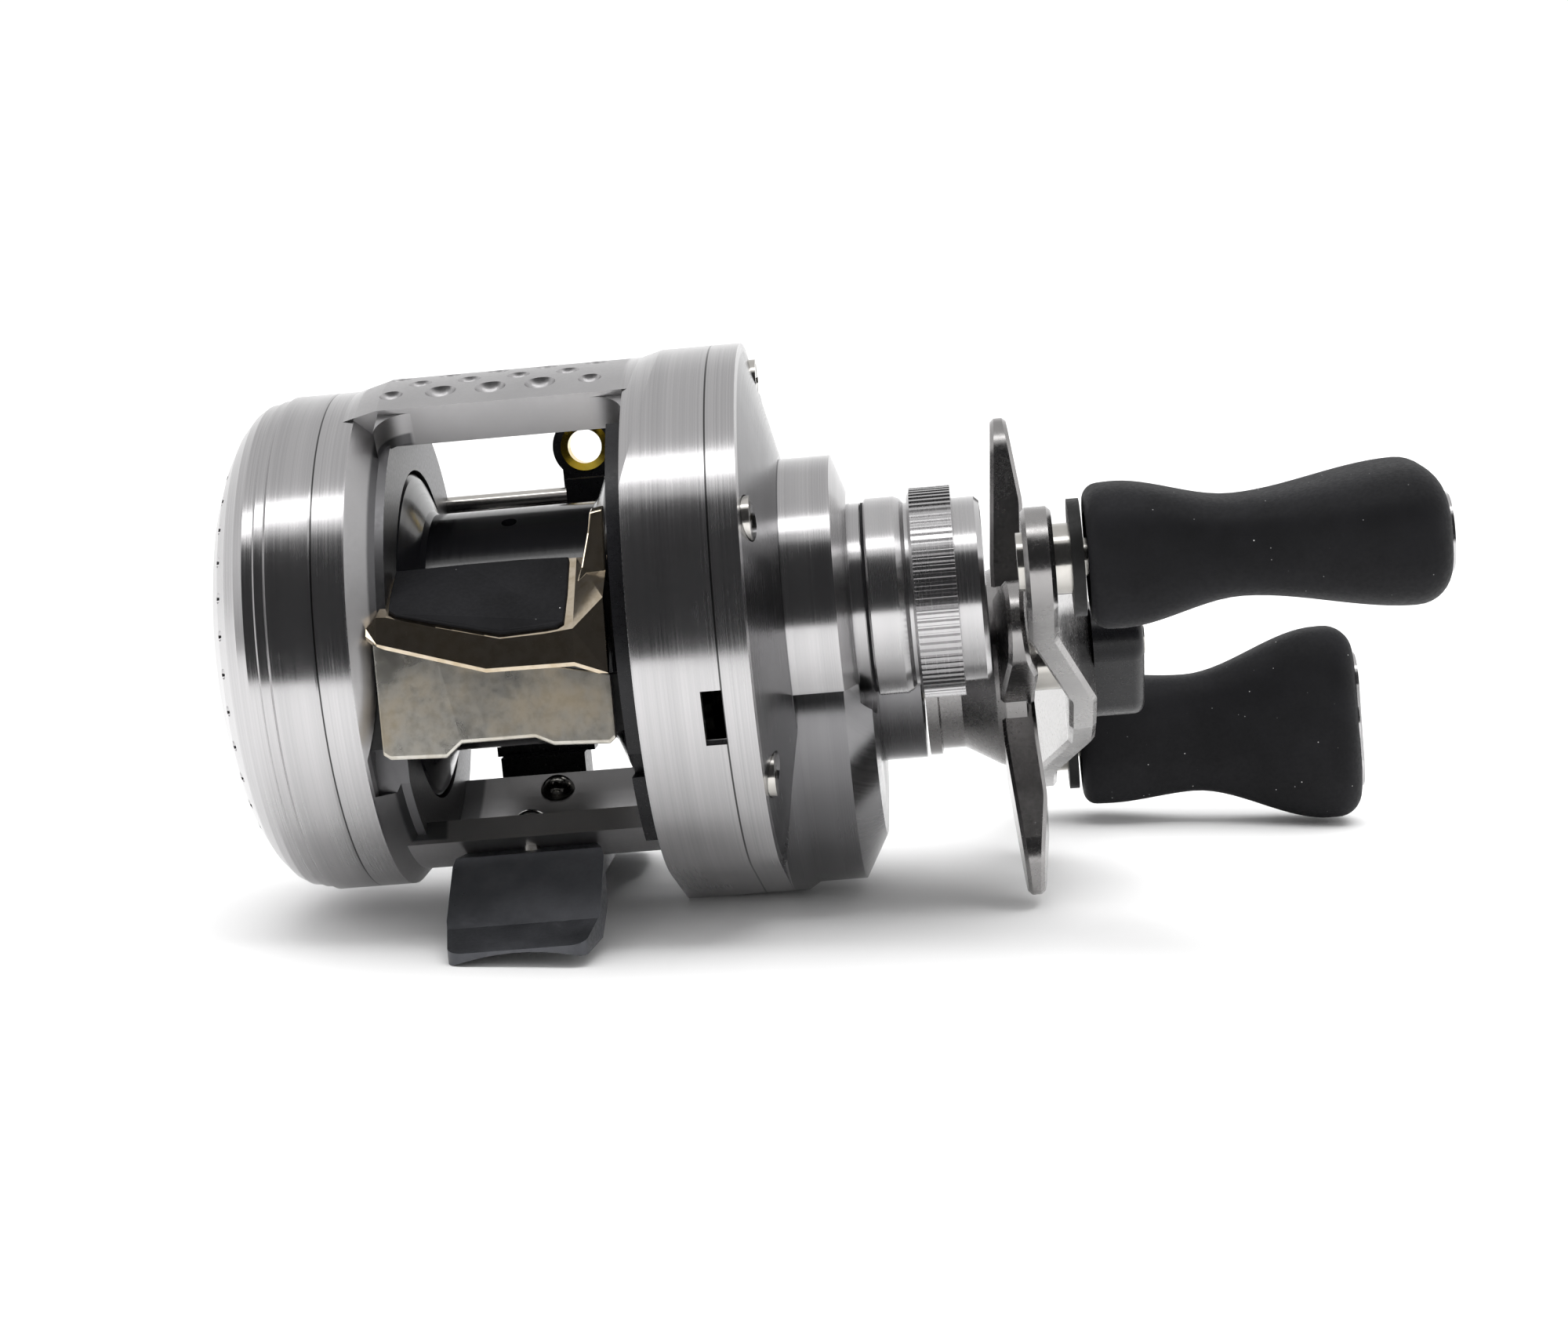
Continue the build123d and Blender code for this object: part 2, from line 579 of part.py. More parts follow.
def line_carriage():
    """Level wind carriage on the worm and the guide rod, with the line guide's ring seat."""
    x0, x1 = GUIDE_X - 3.6, GUIDE_X + 3.6
    body = tube(x0, x1, 3.45, WORM_R + RUN, WORM)
    body += block(x0 + 0.9, x1 - 0.9, 20.4, 22.9, WORM_Z + 2.4, GUIDE_Z - 2)
    body += block(x0 + 1.4, x1 - 1.4, 17.7, 20.6, ROD_Z - 1.9, ROD_Z + 1.9)
    seat = Pos(GUIDE_X, GUIDE_Y - 0.4, GUIDE_Z) * Rot(90, 0, 0) * Cylinder(3.6, 2.6)
    body += seat
    body -= Pos(GUIDE_X, GUIDE_Y, GUIDE_Z) * Rot(90, 0, 0) * Cylinder(2.7, 6)
    body -= disc(x0 - 2, x1 + 2, ROD_R + RUN, (ROD_Y, ROD_Z))
    body -= disc(x0 - 2, x1 + 2, WORM_R + RUN, WORM)
    body -= Pos(GUIDE_X, WORM_Y, WORM_Z - 2.6) * Cylinder(1.0, 3)
    return body


def line_guide_ring():
    """Hard gold-coloured ring that the line runs through."""
    edge = Polyline((GUIDE_HOLE_R, -1.25), (2.7, -1.4), (2.7, 1.4), (GUIDE_HOLE_R, 1.25), close=True)
    profile = make_face(edge)
    ring = revolve(Plane.XZ * profile, Axis.Z, 360)
    return Pos(GUIDE_X, GUIDE_Y - 0.4, GUIDE_Z) * Rot(90, 0, 0) * ring


def level_pawl():
    """Pawl in the carriage that follows the worm's groove."""
    return Pos(GUIDE_X, WORM_Y, WORM_Z - 2.85) * Cylinder(0.98, 1.1)


# ---- thumb bar ----------------------------------------------------------------
def thumb_bar():
    """Polished thumb bar: sloping top, bevel band, stepped rear face and a raised horn."""
    side = [(-15.3, 7.6), (-24.0, 1.6), (-26.6, -1.5), (-26.0, -10.6), (-24.6, -10.6), (-24.8, -2.4),
            (-22.6, -0.6), (-17.6, 3.2), (-17.0, 4.4)]
    body = Pos(-12.0, 0, 0) * extrude(Plane.YZ * make_face(Polyline(*side, close=True)), 24.0)
    body -= block(-6.4, 3.6, -30, -20, -12, -8.6)
    body -= block(3.5, 13, -30, -20, -12, -9.7)
    body -= block(-14, LIP_X + 0.25, -24.4, -10, -12, 12)
    horn_side = [(-14.6, 12.8), (-16.6, 12.6), (-19.4, 6.0), (-19.0, 2.6), (-16.2, 5.8)]
    horn = Pos(9.4, 0, 0) * extrude(Plane.YZ * make_face(Polyline(*horn_side, close=True)), 2.4)
    body += horn
    body -= thumb_pad_blank(0.6)
    room = Circle(FLANGE_R + 0.35)
    swept = make_hull(room.edges() + (Pos(0, THUMB_TRAVEL) * room).edges())
    return body - Pos(-20, 0, 0) * extrude(Plane.YZ * swept, 40)


def thumb_pad_blank(lift):
    """Rubber pad let into the thumb bar's sloping top."""
    side = [(-15.9, 7.4 + lift), (-16.4, 6.6), (-22.6, 2.3), (-23.3, 2.35 + lift)]
    blank = Pos(-9.6, 0, 0) * extrude(Plane.YZ * make_face(Polyline(*side, close=True)), 17.9)
    return blank


def thumb_pad():
    """Black rubber pad, a little proud of the thumb bar."""
    side = [(-15.95, 7.7), (-16.4, 6.65), (-22.6, 2.35), (-23.2, 2.75)]
    return Pos(-9.5, 0, 0) * extrude(Plane.YZ * make_face(Polyline(*side, close=True)), 17.7)


def thumb_bar_slider():
    """Slide bracket behind the thumb bar with a tongue in each ring's slot."""
    body = block(-13.2, 13.2, -23.9, -22.2, -8.6, -3.0)
    body += block(-9.5, 9.5, -24.6, -23.8, -8.0, -3.6)
    body += block(GAP + 0.4, GAP + 1.4, -23.9, -20.4, -8.6, -3.0)
    body += block(13.1, GAP + 0.5, -23.9, -21.0, -8.6, -3.0)
    return body


def clutch_cam():
    """Cam plate behind the set wall that the thumb bar pushes down."""
    body = block(GAP + 2.0, GAP + 2.9, -22.4, -5.6, -7.4, -4.4)
    body += block(GAP + 1.4, GAP + 2.9, -22.4, -20.5, -7.4, -4.4)
    body += block(GAP + 2.0, GAP + 2.9, -7.0, -5.6, -7.4, 3.4)
    return body


def clutch_yoke():
    """Yoke that holds the pinion's groove and slides with the clutch."""
    body = Rot(YOKE_DEG, 0, 0) * block(18.0, 19.3, -3.6, 3.6, -9.2, 9.2)
    for side in (-1, 1):
        body -= disc(15, 22, 0.7 + RUN, around(YOKE_DEG, side * YOKE_REACH))
    return body - disc(15, 22, 2.9 + RUN)


def plate_posts():
    """Posts on the frame for the yoke and the idler."""
    posts = [disc(GAP + 1.75, 23.2, 0.7, around(YOKE_DEG, side * YOKE_REACH)) for side in (-1, 1)]
    y, z = idler_place()
    posts.append(disc(GAP + 1.75, 20.8, 0.8, (y, z)) + disc(20.3, 20.8, 1.3, (y, z)))
    return posts


def yoke_springs():
    """Springs on the yoke's posts that press it and the pinion towards the spool."""
    return [tube(19.3, 22.2, 1.6, 1.1, around(YOKE_DEG, side * YOKE_REACH)) for side in (-1, 1)]


# ---- cast control -------------------------------------------------------------
def knurled_ring(x0, x1, radius, depth, count):
    """Axially knurled ring."""
    outline = []
    for k in range(count):
        for share, r in ((0.0, radius - depth), (0.22, radius - depth), (0.42, radius), (0.80, radius)):
            angle = 2 * pi * (k + share) / count
            outline.append((r * cos(angle), r * sin(angle)))
    return Pos(x0, 0, 0) * extrude(Plane.YZ * make_face(Polyline(*outline, close=True)), x1 - x0)


def cast_cap():
    """Cast control cap: plain collar, groove, knurled ring and chamfered nose."""
    body = turned([(36.75, 0), (36.75, 10.2), (36.95, 10.4), (39.9, 10.4), (40.5, 10.1),
                   (40.9, 9.6), (41.4, 9.6),
                   (41.4, 0)])
    body += knurled_ring(41.6, 45.9, 11.1, 0.28, 84)
    body += turned([(41.3, 0), (41.3, 10.4), (41.6, 10.7), (45.9, 10.7), (46.0, 9.7),
                    (48.3, 9.7), (48.8, 9.2),
                    (48.9, 8.0), (48.9, 0)])
    body -= disc(36, 38.7, 9.5)
    body -= disc(36, 45.0, 8.2 + RUN)
    return body


def cast_o_ring():
    """Rubber ring under the cast control cap."""
    return tube(36.4, 36.7, 10.0, 9.45)


def cast_spacer():
    """Brass friction spacer between the cap and the spool shaft."""
    return disc(42.15, 44.9, 3.6)


# ---- star drag and crank ------------------------------------------------------
def star_drag():
    """Five-armed star wheel with a conical hub."""
    hub = turned([(41.3, 0), (41.3, 9.2), (42.6, 9.2), (42.8, 8.6), (45.2, 8.6), (49.0, 10.8), (50.0, 11.2),
                  (52.2, 11.2), (52.4, 10.6), (52.4, 0)], HANDLE)
    body = hub
    for k in range(5):
        body += Pos(0, *HANDLE) * Rot(72 * k, 0, 0) * star_arm()
    body -= disc(41, 51.0, 7.3, HANDLE)
    body -= disc(40, 60, 5.0, HANDLE)
    return body


def star_arm():
    """One star arm pointing up, thin at its rounded tip, which leans away from the reel."""
    plan = make_hull((Circle(6.6).edges() + (Pos(0, STAR_R - 4.6) * Circle(4.6)).edges()))
    plate = extrude(Plane.YZ * plan, 8)
    side = make_face(Polyline((-2.2, 0), (-1.9, 12), (-0.6, STAR_R), (1.1, STAR_R),
                              (2.2, STAR_R - 9), (1.8, 12),
                              (1.5, 0), close=True))
    profile = extrude(Plane.XZ * side, 20, both=True)
    arm = (Pos(-4, 0, 0) * plate) & profile
    return Pos(STAR_X, 0, 0) * chamfer(arm.edges().filter_by(lambda edge: edge.center().Z > 6), 0.4)


def star_nut():
    """Threaded star nut on the drive shaft."""
    nut = disc(0, 3.2, 4.9) - block(-1, 5, 4.3, 6, -6, 6) - block(-1, 5, -6, -4.3, -6, 6)
    return Pos(47.2, *HANDLE) * nut - disc(40, 60, 3.0 + RUN, HANDLE)


def star_washers():
    """Spring washers under the star nut."""
    return [tube(43.6 + 0.8 * k, 44.2 + 0.8 * k, 6.2, 3.0 + RUN + 0.1, HANDLE) for k in range(2)]


def pin_place(end):
    """Axis (y, z) of a crank pin; end is +1 for the near arm and -1 for the far arm."""
    angle = radians(CRANK_DEG)
    return HANDLE_Y + end * CRANK_R * cos(angle), HANDLE_Z + end * CRANK_R * sin(angle)


def crank():
    """Swept crank plate: raised hub, arms stepped towards the reel, rounded ends."""
    plan = make_hull((Circle(7.7).edges() + (Pos(0, CRANK_R) * Circle(5.3)).edges()
                      + (Pos(0, -CRANK_R) * Circle(5.3)).edges()))
    plate = extrude(Plane.YZ * plan, 80)
    end_x, hub_x, reach = CRANK_END_X, CRANK_HUB_X, CRANK_R + 8
    line = [(end_x, -reach), (end_x, -33), (hub_x, -10), (hub_x, 10), (end_x, 33), (end_x, reach)]
    back = [(x + CRANK_THICK, z) for x, z in reversed(line)]
    strip = extrude(Plane.XZ * make_face(Polyline(*line, *back, close=True)), 20, both=True)
    body = chamfer((plate & strip).edges(), CRANK_BEVEL)
    for end in (-1, 1):
        body -= disc(40, 70, 1.9, (0, end * CRANK_R))
    body = Pos(0, *HANDLE) * Rot(CRANK_DEG - 90, 0, 0) * body
    return body - disc(40, 70, 3.0, HANDLE)


def crank_nut():
    """Hexagon crank nut."""
    nut = extrude(Plane.YZ * RegularPolygon(5.0, 6), 2.6) - disc(-1, 4, 3.0)
    return Pos(CRANK_HUB_X + CRANK_THICK, *HANDLE) * Rot(CRANK_DEG - 90, 0, 0) * nut


def nut_cover():
    """Black lobed keeper over the crank nut."""
    x0 = CRANK_HUB_X + CRANK_THICK
    plan = make_hull((Circle(6.4).edges() + (Pos(0, 9.5) * Circle(3.2)).edges()))
    body = extrude(Plane.YZ * plan, 5.5)
    body = fillet(body.edges().filter_by(Plane.YZ).group_by(Axis.X)[-1], 1.2)
    body -= Pos(-0.01, 0, 0) * extrude(Plane.YZ * RegularPolygon(5.1, 6), 2.9)
    body -= disc(-1, 3.2, 3.05)
    body -= disc(-1, 8, 1.3, (0, 9.5))
    body -= disc(4.2, 8, 2.1, (0, 9.5))
    return Pos(x0, *HANDLE) * Rot(CRANK_DEG - 90, 0, 0) * body


def keeper_screw():
    """Screw that locks the nut keeper to the crank."""
    head = disc(4.25, 5.6, 2.0, (0, 9.5)) - block(5.1, 6, -0.25, 0.25, 7.9, 11.1)
    screw = head + disc(0.1, 4.3, 1.2, (0, 9.5))
    return Pos(CRANK_HUB_X + CRANK_THICK, *HANDLE) * Rot(CRANK_DEG - 90, 0, 0) * screw


def knob_posts():
    """Steel knob posts riveted through the crank's ends."""
    posts = []
    for end in (1, -1):
        at = pin_place(end)
        post = disc(CRANK_END_X - 0.5, KNOB_X + 30, 1.88, at)
        post += disc(CRANK_END_X + CRANK_THICK, KNOB_X - 0.6, 3.5, at)
        post += disc(CRANK_END_X - 0.6, CRANK_END_X, 2.9, at)
        posts.append(post)
    return posts


def knob_grip(end, wide_deg):
    """Rubber paddle knob; wide_deg turns its broad side about the post."""
    sections = ((KNOB_X + 1.0, 15.4, 14.2), (KNOB_X + 5.0, 15.4, 13.0), (KNOB_X + 12.0, 14.6, 9.4),
                (KNOB_X + 20.0, 18.0, 10.4), (KNOB_X + 28.0, 22.8, 13.0), (KNOB_END_X - 0.5, 24.0, 13.8))
    faces = []
    for x, wide, thin in sections:
        outline = RectangleRounded(wide, thin, 0.42 * thin)
        faces.append(Pos(x, 0, 0) * (Plane.YZ * outline))
    body = loft(faces)
    body = fillet(body.edges().group_by(Axis.X)[-1], 2.8)
    body = fillet(body.edges().group_by(Axis.X)[0], 1.2)
    body -= disc(KNOB_X, KNOB_X + 3.2, 4.6)
    body -= disc(KNOB_X, KNOB_X + 31, 3.4)
    body -= disc(KNOB_X + 20, KNOB_END_X + 1, 4.3)
    return Pos(0, *pin_place(end)) * Rot(wide_deg, 0, 0) * body


def knob_end_cap(end, wide_deg):
    """Thin metal plate that closes the knob's outer end."""
    face = RectangleRounded(16.6, 7.6, 3.6)
    plate = Pos(KNOB_END_X - 0.5, 0, 0) * extrude(Plane.YZ * face, 0.35)
    plate += disc(KNOB_END_X - 3.6, KNOB_END_X - 0.4, 4.25)
    return Pos(0, *pin_place(end)) * Rot(wide_deg, 0, 0) * plate


def knob_collars():
    """Black collars at the foot of both knob posts."""
    return [tube(KNOB_X - 0.6, KNOB_X + 0.6, 5.8, 1.88 + RUN, pin_place(end)) for end in (1, -1)]


def knob_bearings(end):
    """Pair of small bearings that the knob turns on."""
    at = pin_place(end)
    inner = ball_bearing(KNOB_X + 3.4, KNOB_X + 5.9, 3.38, 1.88 + 0.03, at)
    outer = ball_bearing(KNOB_X + 26.8, KNOB_X + 29.3, 3.38, 1.88 + 0.03, at)
    return [inner, outer]


# ---- write every piece --------------------------------------------------------
PIECES = {
    "frame": frame,
    "reel_foot": foot,
    "foot_rivets": foot_rivets,
    "palm_cup": palm_cup,
    "palm_lock_ring": palm_inner_plate,
    "brake_race": brake_race,
    "inner_side_plate": inner_side_plate,
    "side_plate_screws": plate_screws,
    "handle_cover": handle_cover,
    "cover_screws": cover_screws,
    "spool_bearings": spool_bearings,
    "pinion_bearing": pinion_bearing,
    "drive_shaft_bearing": shaft_bearing,
    "roller_clutch": roller_clutch,
    "spool": spool,
    "line_pin": line_pin,
    "spool_shaft": spool_shaft,
    "spool_pin": spool_pin,
    "brake_frame": brake_frame,
    "brake_weights": brake_weights,
    "pinion": pinion,
    "drive_gear": drive_gear,
    "drag_washers": drag_washers,
    "drive_shaft": drive_shaft,
    "kick_ratchet": kick_ratchet,
    "train_gear": train_gear,
    "idler_gear": idler_gear,
    "worm_gear": worm_gear,
    "worm_shaft": worm_shaft,
    "worm_bushes": worm_bushes,
    "guide_rod": guide_rod,
    "worm_guard": worm_guard,
    "line_carriage": line_carriage,
    "line_guide_ring": line_guide_ring,
    "level_pawl": level_pawl,
    "thumb_bar": thumb_bar,
    "thumb_pad": thumb_pad,
    "thumb_bar_slider": thumb_bar_slider,
    "clutch_cam": clutch_cam,
    "clutch_yoke": clutch_yoke,
    "plate_posts": plate_posts,
    "yoke_springs": yoke_springs,
    "cast_cap": cast_cap,
    "cast_o_ring": cast_o_ring,
    "cast_spacer": cast_spacer,
    "star_drag": star_drag,
    "star_nut": star_nut,
    "star_washers": star_washers,
    "crank": crank,
    "crank_nut": crank_nut,
    "nut_cover": nut_cover,
    "keeper_screw": keeper_screw,
    "knob_posts": knob_posts,
    "knob_collars": knob_collars,
    "near_knob_grip": lambda: knob_grip(1, NEAR_KNOB_DEG),
    "near_knob_cap": lambda: knob_end_cap(1, NEAR_KNOB_DEG),
    "near_knob_bearings": lambda: knob_bearings(1),
    "far_knob_grip": lambda: knob_grip(-1, FAR_KNOB_DEG),
    "far_knob_cap": lambda: knob_end_cap(-1, FAR_KNOB_DEG),
    "far_knob_bearings": lambda: knob_bearings(-1),
}


def write_piece(name, shape):
    """Move one piece, or a group of separate solids, to the reel's frame and write it."""
    solids = []
    for item in shape if isinstance(shape, list) else [shape]:
        moved = Pos(0, SPOOL_Y, SPOOL_Z) * item
        solids.extend(moved.solids())
    piece = solids[0] if len(solids) == 1 else Compound(solids)
    piece.label = name
    export_step(piece, f"parts/{name}.step")


os.makedirs("parts", exist_ok=True)
for node, make in PIECES.items():
    write_piece(node, make())
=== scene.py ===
"""Looks of the baitcasting reel: materials, detailed pieces, light and camera.

Metres, in the part's own frame; the detailed pieces are laid out in millimetres
from the spool axis.
"""

import json
from math import cos, pi, radians, sin

import bmesh
import bpy
from mathutils import Matrix, Vector


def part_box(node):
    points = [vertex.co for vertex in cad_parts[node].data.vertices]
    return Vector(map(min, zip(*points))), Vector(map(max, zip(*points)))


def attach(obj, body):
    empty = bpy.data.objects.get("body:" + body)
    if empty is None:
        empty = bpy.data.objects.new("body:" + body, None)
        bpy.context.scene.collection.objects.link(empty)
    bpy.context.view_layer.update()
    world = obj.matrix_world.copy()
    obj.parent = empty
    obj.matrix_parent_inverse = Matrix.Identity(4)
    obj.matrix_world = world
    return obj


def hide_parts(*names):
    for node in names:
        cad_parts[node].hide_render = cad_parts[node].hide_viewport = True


MM = 0.001

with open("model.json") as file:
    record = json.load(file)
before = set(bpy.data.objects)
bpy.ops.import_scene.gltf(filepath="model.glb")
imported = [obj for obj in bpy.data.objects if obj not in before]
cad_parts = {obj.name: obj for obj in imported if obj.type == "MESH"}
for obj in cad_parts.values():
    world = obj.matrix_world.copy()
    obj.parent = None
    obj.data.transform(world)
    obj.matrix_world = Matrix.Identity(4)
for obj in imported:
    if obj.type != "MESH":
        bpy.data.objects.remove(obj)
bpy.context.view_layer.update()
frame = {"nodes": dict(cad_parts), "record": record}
nodes = frame["nodes"]


def middle(node):
    """Centre of a CAD node's box."""
    low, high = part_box(node)
    return (low + high) / 2


SPOOL = middle("spool")


# ---- material helpers ---------------------------------------------------------
class Surface:
    """One Principled material and the nodes that feed it."""

    def __init__(self, name, **constants):
        self.material = bpy.data.materials.new(name)
        self.material.use_nodes = True
        self.tree = self.material.node_tree
        self.shader = self.tree.nodes["Principled BSDF"]
        for key, value in constants.items():
            self.shader.inputs[key.replace("_", " ")].default_value = value
        self.place = self.add("ShaderNodeTexCoord").outputs["Object"]

    def add(self, kind, values=None, **settings):
        """A node with its settings, and its inputs linked or set."""
        node = self.tree.nodes.new(kind)
        for key, value in settings.items():
            setattr(node, key, value)
        for key, value in (values or {}).items():
            if isinstance(value, bpy.types.NodeSocket):
                self.tree.links.new(value, node.inputs[key])
            else:
                node.inputs[key].default_value = value
        return node

    def math(self, operation, first, second=0.0, clamp=False):
        values = {0: first, 1: second}
        return self.add("ShaderNodeMath", values, operation=operation, use_clamp=clamp).outputs[0]

    def vector(self, operation, first, second=(0, 0, 0)):
        return self.add("ShaderNodeVectorMath", {0: first, 1: second}, operation=operation).outputs["Vector"]

    def noise(self, scale, detail=3.0, roughness=0.55, place=None, distortion=0.0):
        values = {"Vector": place or self.place, "Scale": scale, "Detail": detail, "Roughness": roughness,
                  "Distortion": distortion}
        return self.add("ShaderNodeTexNoise", values).outputs[0]

    def ramp(self, value, low, high, to_low=0.0, to_high=1.0):
        """Smooth step of a value from one range to another."""
        values = {"Value": value, "From Min": low, "From Max": high, "To Min": to_low, "To Max": to_high}
        return self.add("ShaderNodeMapRange", values, interpolation_type="SMOOTHSTEP").outputs[0]

    def blend(self, share, first, second):
        """Mix of two colours."""
        node = self.add("ShaderNodeMix", {0: share}, data_type="RGBA")
        for index, value in ((6, first), (7, second)):
            if isinstance(value, bpy.types.NodeSocket):
                self.tree.links.new(value, node.inputs[index])
            else:
                node.inputs[index].default_value = (*value, 1.0)
        return node.outputs[2]

    def bump(self, height, distance, strength=1.0):
        values = {"Height": height, "Distance": distance, "Strength": strength}
        self.feed("Normal", self.add("ShaderNodeBump", values).outputs["Normal"])

    def feed(self, key, socket):
        self.tree.links.new(socket, self.shader.inputs[key])

    def mix_value(self, share, first, second):
        """Mix of two numbers."""
        return self.add("ShaderNodeMix", {0: share, 2: first, 3: second}, data_type="FLOAT").outputs[0]

    def polar(self, axis):
        """Places that vary only along the axis, and only away from it, and the offset from the axis."""
        offset = self.vector("SUBTRACT", self.place, (0.0, axis.y, axis.z))
        flat = self.vector("MULTIPLY", offset, (0.0, 1.0, 1.0))
        radius = self.add("ShaderNodeVectorMath", {0: flat}, operation="LENGTH").outputs["Value"]
        along = self.add("ShaderNodeSeparateXYZ", {0: self.place}).outputs[0]
        wall = self.add("ShaderNodeCombineXYZ", {0: along, 1: 0.0}).outputs[0]
        face = self.add("ShaderNodeCombineXYZ", {0: 0.0, 1: radius}).outputs[0]
        return wall, face, flat


SEAMS = (-17.2 * MM, 22.4 * MM)   # frame to palm cup, and frame to handle cover
RING_GAP = 13.85 * MM             # half the open width between the frame's rings
LIP_RADIUS = 24.2 * MM            # turned lip inside the frame's left ring
LIP_EDGE = -8.5 * MM
COVER_EDGE = 25.5 * MM            # where the cover's wall turns into its sloping face
BOSS_FOOT = 28.35 * MM            # where the boss rises from that face
SEAM_TONE = (0.02, 0.02, 0.02)
# colour that the painted shade darkens the turned metal towards
PAINTED_SHADE_TONE = (0.085, 0.085, 0.09)


def turned_metal(name, axis, dark, light, roughness, stretch=0.7, groove=0.25, shade=None, satin=None):
    """Lathe-turned metal: fine lines round its walls, rings on its faces, and faint smudges.

    shade, when given, returns a factor that darkens parts of the surface with painted shade;
    satin returns one that makes parts of it satin and free of lines.
    """
    s = Surface(name, Metallic=1.0, Anisotropic=stretch)
    wall_lines, face_lines, flat = s.polar(axis)
    normal = s.add("ShaderNodeTexCoord").outputs["Normal"]
    along = s.add("ShaderNodeSeparateXYZ", {0: normal}).outputs[0]
    is_face = s.ramp(s.math("ABSOLUTE", along), 0.6, 0.85)
    fine = s.mix_value(is_face, s.noise(4200, 5.0, 0.8, wall_lines), s.noise(4200, 5.0, 0.8, face_lines))
    broad = s.mix_value(is_face, s.noise(600, 2.0, 0.6, wall_lines), s.noise(600, 2.0, 0.6, face_lines))
    smudge = s.noise(90, 3.0, 0.6)
    tone = s.math("ADD", s.math("MULTIPLY", fine, 0.7), s.math("MULTIPLY", broad, 0.3))
    color = s.blend(s.ramp(tone, 0.3, 0.7), dark, light)
    rough = s.math("ADD", s.ramp(fine, 0.3, 0.7, roughness * 0.8, roughness * 1.25),
                   s.ramp(smudge, 0.4, 0.75, -0.02, 0.05))
    strength = groove
    if satin:
        part = satin(s)
        grain = s.ramp(s.noise(2600, 3.0, 0.6), 0.3, 0.7, 0.34, 0.42)
        color = s.blend(part, color, s.blend(smudge, light, dark))
        rough = s.mix_value(part, rough, grain)
        strength = s.math("SUBTRACT", 1.0, part)
        s.feed("Anisotropic", s.math("MULTIPLY", strength, stretch))
        strength = s.math("MULTIPLY", strength, groove)
    # painted shade: the parts picked by shade are darkened towards the shade tone
    if shade:
        color = s.blend(shade(s), color, PAINTED_SHADE_TONE)
    along_axis = s.add("ShaderNodeSeparateXYZ", {0: s.place}).outputs[0]
    for seam in SEAMS:
        off = s.math("ABSOLUTE", s.math("SUBTRACT", along_axis, seam))
        color = s.blend(s.ramp(off, 0.05 * MM, 0.13 * MM, 0.9, 0.0), color, SEAM_TONE)
    s.feed("Base Color", color)
    s.feed("Roughness", rough)
    s.bump(tone, 0.004 * MM, strength)
    across = s.add("ShaderNodeMix", {0: is_face, 4: (1.0, 0.0, 0.0), 5: flat}, data_type="VECTOR").outputs[1]
    settings = {"vector_type": "VECTOR", "convert_from": "OBJECT", "convert_to": "WORLD"}
    s.feed("Tangent", s.add("ShaderNodeVectorTransform", {0: across}, **settings).outputs[0])
    return s


def cast_metal(name, dark, light, roughness, grain=2600, relief=0.006, metallic=1.0, anisotropic=0.0):
    """Satin or polished metal with a fine grain, smudges and small scratches."""
    s = Surface(name, Metallic=metallic, Anisotropic=anisotropic)
    fine = s.noise(grain, 3.0, 0.6)
    smudge = s.noise(110, 4.0, 0.6)
    stretched = s.vector("MULTIPLY", s.place, (1.0, 6.0, 6.0))
    scratch = s.noise(900, 2.0, 0.5, stretched)
    s.feed("Base Color", s.blend(s.ramp(smudge, 0.3, 0.7), dark, light))
    rough = s.math("ADD", s.ramp(fine, 0.3, 0.7, roughness * 0.8, roughness * 1.25),
                   s.ramp(smudge, 0.35, 0.75, 0.0, roughness * 0.5))
    s.feed("Roughness", rough)
    height = s.math("ADD", s.math("MULTIPLY", fine, 0.7), s.math("MULTIPLY", scratch, 0.3))
    s.bump(height, relief * MM, 0.5)
    return s


def stained_nickel(name, pale, deep, roughness, stain):
    """Nickel with warm stains."""
    s = Surface(name, Metallic=1.0)
    cloud = s.noise(130, 4.0, 0.65)
    spots = s.noise(900, 3.0, 0.6)
    clean = s.blend(s.ramp(spots, 0.4, 0.7), pale, deep)
    s.feed("Base Color", s.blend(s.ramp(cloud, 0.42, 0.72, 0.0, stain), clean, (0.46, 0.36, 0.22)))
    s.feed("Roughness", s.ramp(cloud, 0.3, 0.75, roughness * 0.8, roughness * 1.7))
    s.bump(spots, 0.004 * MM, 0.4)
    return s


def rubber(name, tone, roughness, dust=1.0):
    """Matte rubber with a pebbled grain and specks of dust."""
    s = Surface(name, Specular_IOR_Level=0.18)
    grain = s.noise(2400, 3.0, 0.6)
    cloud = s.noise(120, 3.0, 0.6)
    cells = s.add("ShaderNodeTexVoronoi", {"Vector": s.place, "Scale": 1300.0})
    near = s.ramp(cells.outputs["Distance"], 0.05, 0.12, 1.0, 0.0)
    chosen = s.ramp(s.add("ShaderNodeSeparateColor", {0: cells.outputs["Color"]}).outputs[0], 0.84, 0.95)
    speck = s.math("MULTIPLY", s.math("MULTIPLY", near, chosen), dust, True)
    body = s.blend(s.ramp(cloud, 0.3, 0.75), tone, tuple(1.7 * part for part in tone))
    s.feed("Base Color", s.blend(speck, body, (0.55, 0.55, 0.55)))
    s.feed("Roughness", s.ramp(grain, 0.3, 0.7, roughness * 0.9, min(1.0, roughness * 1.1)))
    s.bump(s.math("ADD", grain, s.math("MULTIPLY", speck, 2.0)), 0.02 * MM, 0.5)
    return s


